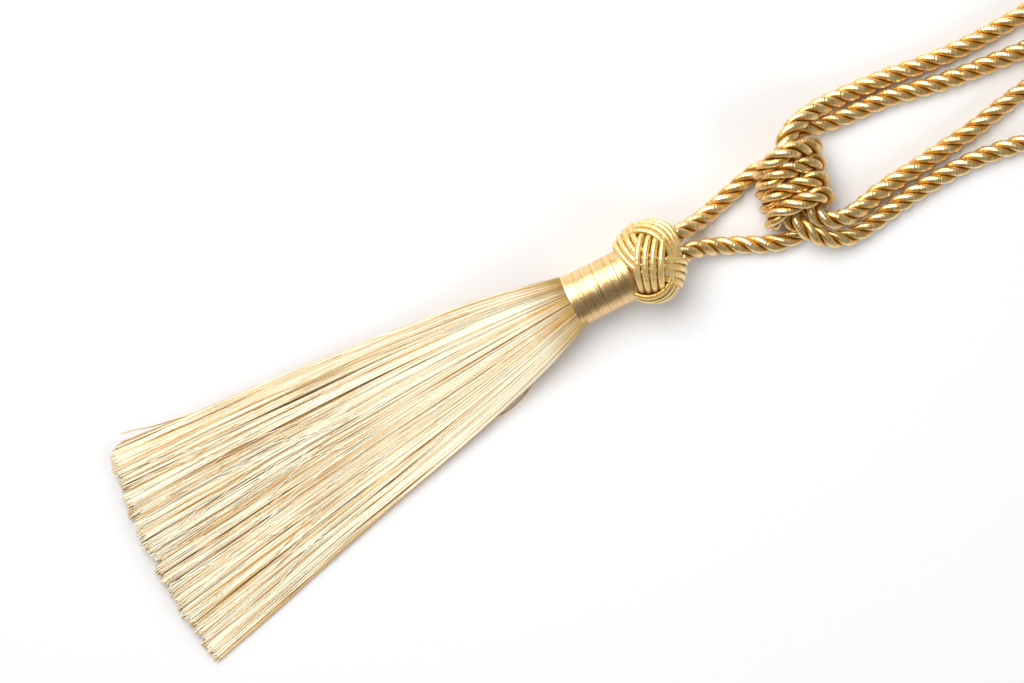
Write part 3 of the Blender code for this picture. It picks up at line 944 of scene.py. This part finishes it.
def stray(across, pull, lock, at, chance):
    """How far the threads of a layer stray sideways and upwards along their length."""
    each = (len(across), 1)
    phase = chance.uniform(0, 2 * math.pi, each)
    waves = chance.uniform(*THREAD_WAVES, each)
    drift = chance.normal(0.0, THREAD_SWAY, each) * np.sin(2 * math.pi * waves * at + phase)
    drift += chance.normal(0.0, THREAD_SPLAY, each) * at
    drift += pull[:, None] * LOCK_PULL * at
    sway = chance.normal(0.0, LOCK_SWAY, SKIRT_LOCKS)[lock][:, None]
    turns = chance.uniform(*LOCK_WAVES, SKIRT_LOCKS)[lock][:, None]
    drift += sway * np.sin(2 * math.pi * turns * at)
    lift = THREAD_LIFT * np.sin(2 * math.pi * waves * THREAD_LIFT_RATE * at + phase)
    return drift, lift


def let_cross(drift, lift, across, at, chance):
    """Lets some threads of the top layer lie across their neighbours near the cut end."""
    inner = np.flatnonzero(np.abs(across) < CROSSING_WITHIN)
    loose = chance.choice(inner, CROSSING, replace=False)
    start = chance.uniform(*CROSSING_FROM, (CROSSING, 1))
    reach = chance.uniform(-CROSSING_REACH, CROSSING_REACH, (CROSSING, 1))
    drift[loose] += reach * smooth((at - start) / CROSSING_OVER)
    lift[loose] += CROSSING_LIFT


def skirt_layer(layer, threads, radius, finish, chance):
    """One layer of the skirt's threads, gathered in locks."""
    name, low, high, part, dull, bright = layer
    at = skirt_stops()
    count = round(threads * part)
    across = np.sort(chance.uniform(-SKIRT_SIDE_REACH, SKIRT_SIDE_REACH, count))
    locks = np.sort(chance.uniform(-1.0, 1.0, SKIRT_LOCKS))
    lock = np.abs(across[:, None] - locks[None]).argmin(axis=1)
    height = chance.uniform(low, high, count)
    drift, lift = stray(across, locks[lock] - across, lock, at, chance)
    cut = tip_cut(across, chance)
    cut = cut + chance.normal(0.0, LOCK_CUT, SKIRT_LOCKS)[lock] - TIP_UNDER * height
    if name == "top":
        let_cross(drift, lift, across, at, chance)
    paths = skirt_paths(across, height, drift, lift, cut)
    paths[:, :, 2] = np.maximum(paths[:, :, 2], radius + THREAD_OFF_FLOOR)
    radii = radius * chance.uniform(*THREAD_THICKNESS, count)
    edge = np.abs(across - locks[lock]) * SKIRT_LOCKS / 2
    shade = DEPTH_SHADE * ((high - height) / (high - low))
    pale = streaks(count, chance) - shade - EDGE_SHADE * np.clip(edge, 0.0, EDGE_REACH) ** 2
    tones = mix(dull, bright, np.clip(pale, 0.0, 1.0))
    return threads_mesh(f"skirt_threads_{name}", paths, radii, tones, finish)


def loose_threads(radius, finish):
    """The threads that stand out from the skirt, with the finish of a thread's middle."""
    tubes = []
    for route in LOOSE_THREADS:
        line = np.array(curve_through(route, LOOSE_STEPS))
        rings = round_tube(line, radius, LOOSE_SIDES, np.broadcast_to(np.array(UP), line.shape))
        tubes.append((rings, distance_along(line) * MM + LOOSE_ALONG, LOOSE_TONE))
    return tubes_mesh("skirt_threads_loose", tubes, finish)


# ---- properties ----


def colour_property(name, description, default):
    return bpy.props.FloatVectorProperty(
        name=name,
        description=description,
        default=(*default, 1.0),
        size=4,
        subtype="COLOR",
        min=0.0,
        max=1.0,
    )


def length_property(name, description, millimetres):
    return bpy.props.FloatProperty(
        name=name,
        description=description,
        default=millimetres * MM,
        unit="LENGTH",
        min=0.0,
        precision=5,
    )


class TiebackSizes(bpy.types.PropertyGroup):
    """Sizes of the tieback's parts."""

    strand: length_property("Strand radius", "Radius of one strand of the rope", 2.28)
    lay: length_property("Rope lay", "Length of one full turn of the rope's strands", 25.0)
    gimp: length_property("Gimp width", "Distance between the gimps of the ball knot", 3.5)
    neck_pitch: length_property("Neck thread", "Distance between the threads round the neck", 0.42)
    thread: length_property("Skirt thread", "Radius of one thread of the skirt", 0.33)
    threads: bpy.props.IntProperty(
        name="Threads",
        description="Number of threads in the skirt",
        default=4600,
        min=1500,
        max=9000,
    )


class TiebackColours(bpy.types.PropertyGroup):
    """Colours of the tieback's parts."""

    # The deep tones of the rope and the gimps are also painted shade on their flanks
    rope_light: colour_property("Rope", "Lit tone of the rope", (1.0, 0.88, 0.52))
    rope_deep: colour_property("Rope, deep", "Deep tone of the rope", (0.84, 0.44, 0.07))
    gimp_light: colour_property("Gimp", "Lit tone of the ball knot", (1.0, 0.88, 0.5))
    gimp_deep: colour_property("Gimp, deep", "Deep tone of the ball knot", (0.9, 0.52, 0.08))
    # Painted shade in the grooves between strands and between gimps
    groove_shade: colour_property("Groove", "Colour between strands and gimps", (0.13, 0.045, 0.003))
    # Darker than the gimps: painted shade where the core shows between them
    knot_core: colour_property("Knot core", "Colour of the ball knot's core", (0.5, 0.29, 0.07))
    neck_light: colour_property("Neck", "Lit tone of the neck's thread", (1.0, 0.77, 0.42))
    neck_deep: colour_property("Neck, deep", "Deep tone of the neck's thread", (0.68, 0.35, 0.09))
    skirt_light: colour_property("Skirt", "Lit tone of the skirt's threads", (1.0, 0.99, 0.8))
    # The skirt's deep tone is also painted shade on the threads' lower corners
    skirt_deep: colour_property("Skirt, deep", "Deep tone of its threads", (0.78, 0.4, 0.02))
    # Painted shade on the skirt just below the neck
    skirt_rim_shade: colour_property("Skirt, rim", "Tone of it below the neck", (0.44, 0.27, 0.07))
    floor: colour_property("Floor", "Colour of the floor", (0.79, 0.79, 0.79))


# ---- operators ----


class TiebackStage(bpy.types.Operator):
    """Adds the camera, the floor and the lights"""

    bl_idname = "tieback.stage"
    bl_label = "Stage"

    def execute(self, context):
        scene = context.scene
        lens = bpy.data.cameras.new("picture_camera")
        lens.lens = CAMERA_LENS
        camera = bpy.data.objects.new("picture_camera", lens)
        middle = Vector((*PICTURE_MIDDLE, CAMERA_HEIGHT)) * MM
        turn = Matrix((PICTURE_RIGHT, PICTURE_UP, UP)).transposed()
        camera.matrix_world = Matrix.Translation(middle) @ turn.to_4x4()
        scene.collection.objects.link(camera)
        scene.camera = camera
        mesh = bpy.data.meshes.new("floor")
        far = FLOOR_REACH
        corners = [(-far, -far, 0.0), (far, -far, 0.0), (far, far, 0.0), (-far, far, 0.0)]
        mesh.from_pydata(corners, [], [(0, 1, 2, 3)])
        mesh.materials.append(plain_finish("floor", scene.tieback_colours.floor, FLOOR_ROUGHNESS))
        floor = bpy.data.objects.new("floor", mesh)
        scene.collection.objects.link(floor)
        world = bpy.data.worlds.new("studio")
        world.use_nodes = True
        sky = world.node_tree.nodes["Background"]
        sky.inputs["Color"].default_value = STUDIO_WHITE
        sky.inputs["Strength"].default_value = STUDIO_STRENGTH
        world.cycles_visibility.glossy = False
        scene.world = world
        for lamp in LAMPS:
            self.light(context, *lamp)
        scene.view_settings.view_transform = "Standard"
        return {"FINISHED"}

    def light(self, context, name, right, up, height, size, power, left_out):
        """An area light aimed at the tieback, placed by the picture's right and up."""
        lamp = bpy.data.lights.new(name, "AREA")
        lamp.shape = "DISK"
        lamp.size = size
        lamp.energy = power
        piece = bpy.data.objects.new(name, lamp)
        place = PICTURE_RIGHT * right + PICTURE_UP * up + UP * height
        piece.location = place
        piece.rotation_euler = place.to_track_quat("Z", "Y").to_euler()
        for rays in ("visible_camera", *left_out):
            setattr(piece, rays, False)
        context.scene.collection.objects.link(piece)


class TiebackEmbrace(bpy.types.Operator):
    """Adds the rope that goes round the curtain"""

    bl_idname = "tieback.embrace"
    bl_label = "Embrace rope"

    def execute(self, context):
        sizes = context.scene.tieback_sizes
        finish = rope_finish("embrace_rope", context.scene.tieback_colours)
        line = curve_through(embrace_route())
        middle, tubes = laid_rope(line, sizes.lay / MM, sizes.strand / MM, False)
        piece = tubes_mesh("embrace_rope", tubes, finish)
        finish_piece(piece, "embrace_rope", "embrace_cord")
        path = middle * MM
        path[::4].tolist() + [path[-1].tolist()]
        return {"FINISHED"}


class TiebackHangingRope(bpy.types.Operator):
    """Adds the tassel's own cord and its turns"""

    bl_idname = "tieback.hanging_rope"
    bl_label = "Hanging rope"

    def execute(self, context):
        sizes = context.scene.tieback_sizes
        finish = rope_finish("hanging_rope", context.scene.tieback_colours)
        routes = (
            ("hanging_rope_coil", list(UPPER_LEG) + coil_route(), "hanging_cord_coil"),
            ("hanging_rope_leg", LOWER_LEG, "hanging_cord_leg"),
        )
        for name, route, node in routes:
            line = curve_through(route)
            _, tubes = laid_rope(line, sizes.lay / MM, sizes.strand / MM, True)
            piece = tubes_mesh(name, tubes, finish)
            finish_piece(piece, "hanging_rope", node)
        return {"FINISHED"}


class TiebackBallKnot(bpy.types.Operator):
    """Adds the ball knot's bands of gimps and its core"""

    bl_idname = "tieback.ball_knot"
    bl_label = "Ball knot"

    def execute(self, context):
        colours = context.scene.tieback_colours
        gimp = context.scene.tieback_sizes.gimp / MM
        shades = (colours.gimp_light, colours.gimp_deep, colours.groove_shade)
        finish = wound_finish("knot_gimp", *shades, **GIMP_WINDING)
        for band in BANDS:
            tubes = []
            for number in range(GIMPS_IN_BAND):
                line, way = gimp_line(band, number, gimp)
                rings = round_tube(line, gimp * GIMP_FILL, GIMP_SIDES, way, closed=True)
                along = distance_along(line) * MM
                tubes.append((pressed(rings), along, number / GIMPS_IN_BAND))
            piece = tubes_mesh(f"knot_{band[0]}_gimps", tubes, finish, closed=True)
            finish_piece(piece, "knot_gimp", "head_knot")
        # The core fills the knot; its darker colour is painted shade seen between the gimps
        inside = plain_finish("knot_core", colours.knot_core, CORE_ROUGHNESS)
        rings = core_rings()
        core = tubes_mesh("knot_core", [(rings, np.zeros(len(rings)), 0.0)], inside)
        finish_piece(core, "knot_gimp", "head_knot")
        return {"FINISHED"}


class TiebackNeck(bpy.types.Operator):
    """Adds the thread wound round the neck"""

    bl_idname = "tieback.neck"
    bl_label = "Neck"

    def execute(self, context):
        colours = context.scene.tieback_colours
        pitch = context.scene.tieback_sizes.neck_pitch / MM
        shades = (colours.neck_light, colours.neck_deep, None)
        finish = wound_finish("neck_thread", *shades, **NECK_WINDING)
        profile = neck_profile(pitch, random.Random(NECK_SEED))
        rings = turned_rings(profile, NECK_SIDES)
        along = np.array([place for place, _ in profile]) * MM
        piece = tubes_mesh("neck_winding", [(rings, along, 0.5)], finish)
        piece.data.set_sharp_from_angle(angle=NECK_CREASE)
        finish_piece(piece, "neck_thread", "neck_wrap")
        return {"FINISHED"}


class TiebackSkirt(bpy.types.Operator):
    """Adds the skirt's cut threads"""

    bl_idname = "tieback.skirt"
    bl_label = "Skirt"

    def execute(self, context):
        sizes = context.scene.tieback_sizes
        colours = context.scene.tieback_colours
        shades = (colours.skirt_light, colours.skirt_deep, colours.skirt_rim_shade)
        finish = thread_finish("skirt_thread", *shades)
        chance = np.random.default_rng(SKIRT_SEED)
        radius = sizes.thread / MM
        for layer in SKIRT_LAYERS:
            piece = skirt_layer(layer, sizes.threads, radius, finish, chance)
            finish_piece(piece, "skirt_thread", "skirt")
        finish_piece(loose_threads(radius, finish), "skirt_thread", "skirt")
        return {"FINISHED"}


PIECE_OPERATORS = (
    TiebackStage,
    TiebackEmbrace,
    TiebackHangingRope,
    TiebackBallKnot,
    TiebackNeck,
    TiebackSkirt,
)


class TiebackPanel(bpy.types.Panel):
    """Sizes, colours and pieces of the tieback"""

    bl_idname = "VIEW3D_PT_tieback"
    bl_label = "Curtain Tieback"
    bl_space_type = "VIEW_3D"
    bl_region_type = "UI"
    bl_category = "Tieback"

    def draw(self, context):
        for group in (context.scene.tieback_sizes, context.scene.tieback_colours):
            box = self.layout.box()
            for name in group.__annotations__:
                box.prop(group, name)
        for operator in PIECE_OPERATORS:
            self.layout.operator(operator.bl_idname)


CLASSES = (TiebackSizes, TiebackColours, *PIECE_OPERATORS, TiebackPanel)


def register():
    for item in CLASSES:
        bpy.utils.register_class(item)
    bpy.types.Scene.tieback_sizes = bpy.props.PointerProperty(type=TiebackSizes)
    bpy.types.Scene.tieback_colours = bpy.props.PointerProperty(type=TiebackColours)


def unregister():
    del bpy.types.Scene.tieback_colours
    del bpy.types.Scene.tieback_sizes
    for item in reversed(CLASSES):
        bpy.utils.unregister_class(item)


def main():
    register()
    bpy.ops.tieback.stage()
    bpy.ops.tieback.embrace()
    bpy.ops.tieback.hanging_rope()
    bpy.ops.tieback.ball_knot()
    bpy.ops.tieback.neck()
    bpy.ops.tieback.skirt()


if __name__ == "__main__":
    main()
